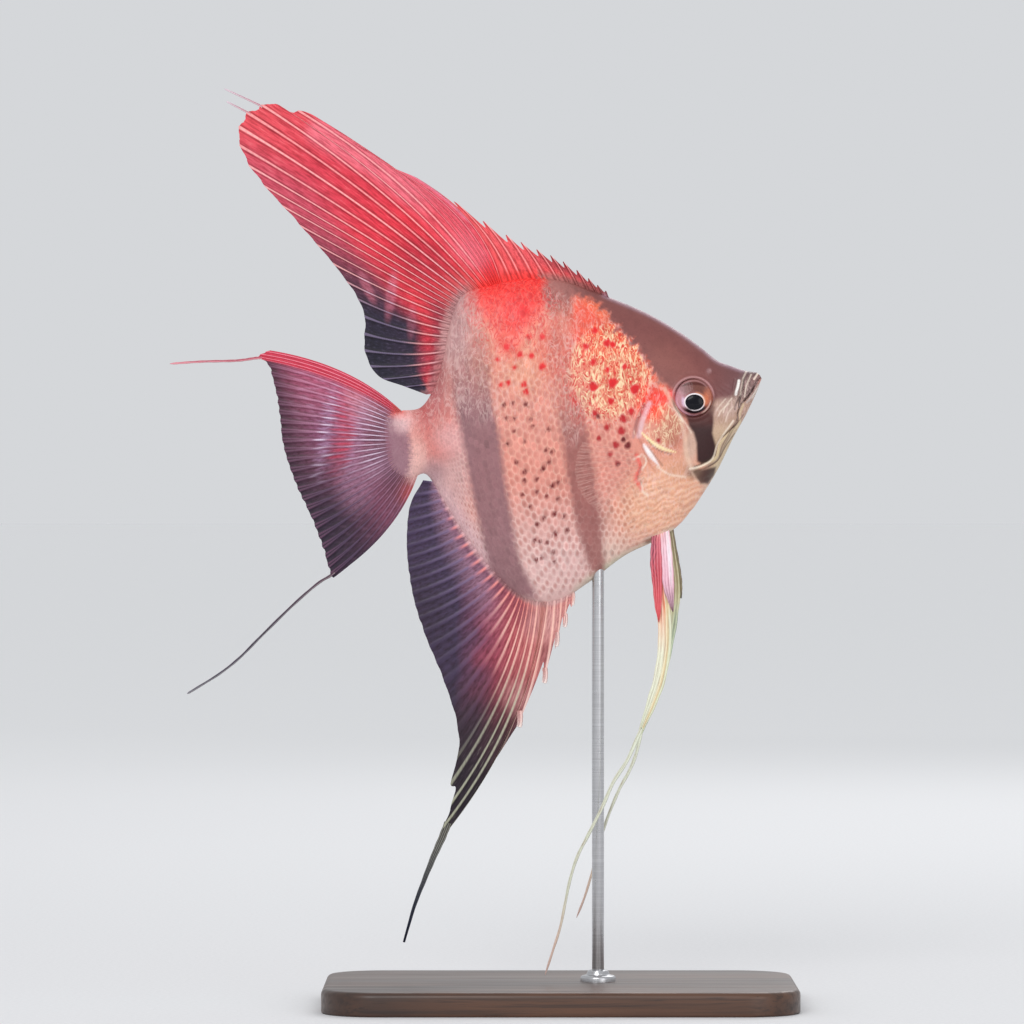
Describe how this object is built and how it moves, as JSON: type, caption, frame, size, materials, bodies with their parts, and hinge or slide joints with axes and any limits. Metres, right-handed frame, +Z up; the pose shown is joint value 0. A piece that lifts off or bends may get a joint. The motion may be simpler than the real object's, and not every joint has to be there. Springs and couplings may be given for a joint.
{
  "type": "freshwater angelfish on display stand",
  "caption": "Disc-shaped freshwater angelfish with tall swept fins and trailing filaments, swimming, held by a rod on a flat display base.",
  "frame": {"origin": "centre of the underside of the display stand's base", "axes": "+Z up, +X the way the fish faces, -Y the side of its right flank"},
  "size_m": [0.1571, 0.074, 0.229],
  "materials": {
    "skin": "wet scaled skin, salmon and red with mauve bars",
    "eye": "clear and wet",
    "red_fin": "thin rayed membrane, red with pale rays",
    "mauve_fin": "thin rayed membrane, mauve with lilac rays",
    "pale_fin": "smooth ray, cream to pale green",
    "clear_fin": "clear rayed membrane",
    "wood": "dark satin",
    "steel": "fine brushed"
  },
  "bodies": {
    "root": {"head": "skin", "upper_jaw": "skin", "lower_jaw": "skin", "gill_cover_left": "skin", "gill_cover_right": "skin", "trunk": "skin", "tail_stalk": "skin", "eye_left": "eye", "eye_right": "eye", "dorsal_fin_spines": "red_fin", "dorsal_fin_sail": "red_fin", "dorsal_thread_upper": "red_fin", "dorsal_thread_lower": "red_fin", "anal_fin_spines": "mauve_fin", "anal_fin_sail": "mauve_fin", "anal_streamer": "mauve_fin", "caudal_fin": "mauve_fin", "caudal_thread_upper": "red_fin", "caudal_thread_lower": "mauve_fin", "pectoral_fin_left": "clear_fin", "pectoral_fin_right": "clear_fin", "pelvic_fin_left": "pale_fin", "pelvic_fin_right": "pale_fin", "pelvic_thread_left_1": "pale_fin", "pelvic_thread_left_2": "pale_fin", "pelvic_thread_right_1": "pale_fin", "pelvic_thread_right_2": "pale_fin", "stand_base": "wood", "stand_collar": "steel", "stand_rod": "steel"}
  },
  "joints": []
}
